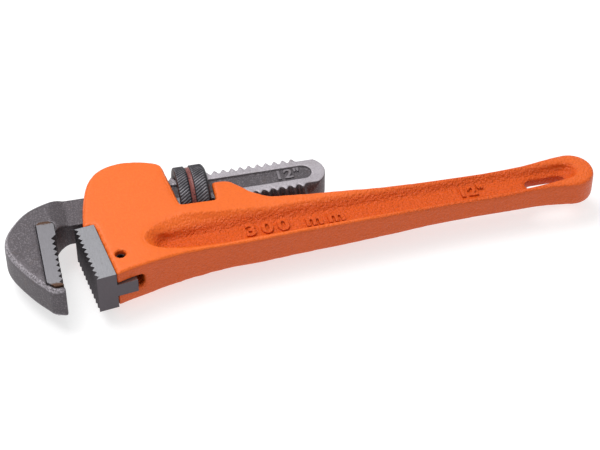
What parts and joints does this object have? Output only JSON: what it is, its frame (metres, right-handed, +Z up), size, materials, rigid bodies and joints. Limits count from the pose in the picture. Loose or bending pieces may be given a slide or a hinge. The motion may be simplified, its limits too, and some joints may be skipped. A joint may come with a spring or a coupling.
{
  "type": "pipe wrench",
  "caption": "Straight-pattern pipe wrench with a sliding threaded hook jaw, a knurled adjusting nut, a pinned heel jaw and a cast I-beam handle with a hanging slot.",
  "frame": {"origin": "under the middle of the wrench's box, on the plane the wrench lies on", "axes": "+X along the jaw's shank, from the mouth towards the handle's end; +Y from the mouth towards the crown of the housing; +Z up, square to the wrench's flat sides"},
  "size_m": [0.3024, 0.0854, 0.034],
  "materials": {
    "casting": "orange enamel over a ductile iron casting",
    "forging": "dark phosphated drop forging with worn edges",
    "ground_steel": "hardened steel with ground faces and dark teeth",
    "nut_steel": "knurled gunmetal steel",
    "spring_steel": "blackened spring steel"
  },
  "bodies": {
    "handle": {"handle_body": "casting", "heel_jaw": "ground_steel", "heel_jaw_pin": "spring_steel", "coil_spring": "spring_steel", "spring_rivet": "spring_steel"},
    "jaw_rocker": {"flat_spring": "spring_steel"},
    "hook": {"hook_jaw": "forging", "hook_tooth_insert": "ground_steel"},
    "nut": {"adjusting_nut": "nut_steel"}
  },
  "joints": [
    {"name": "jaw_rock", "type": "hinge", "parent": "handle", "child": "jaw_rocker", "pos_m": [-0.06138, 0.00662, 0.017], "axis": [0, 0, 1], "range_deg": [0, 6], "stiffness_Nm_per_rad": 4, "springref_deg": -5.73, "deforming": ["coil_spring"]},
    {"name": "jaw_slide", "type": "slide", "parent": "jaw_rocker", "child": "hook", "axis": [-1, 0, 0], "range_m": [-0.0065, 0.04]},
    {"name": "nut_spin", "type": "hinge", "parent": "jaw_rocker", "child": "nut", "pos_m": [-0.05338, 0.01862, 0.017], "axis": [1, 0, 0], "range_deg": [-522, 3202]}
  ],
  "couplings": [
    {"joint": "nut_spin", "follows": "jaw_slide", "rad_per_m": 1396.3}
  ]
}
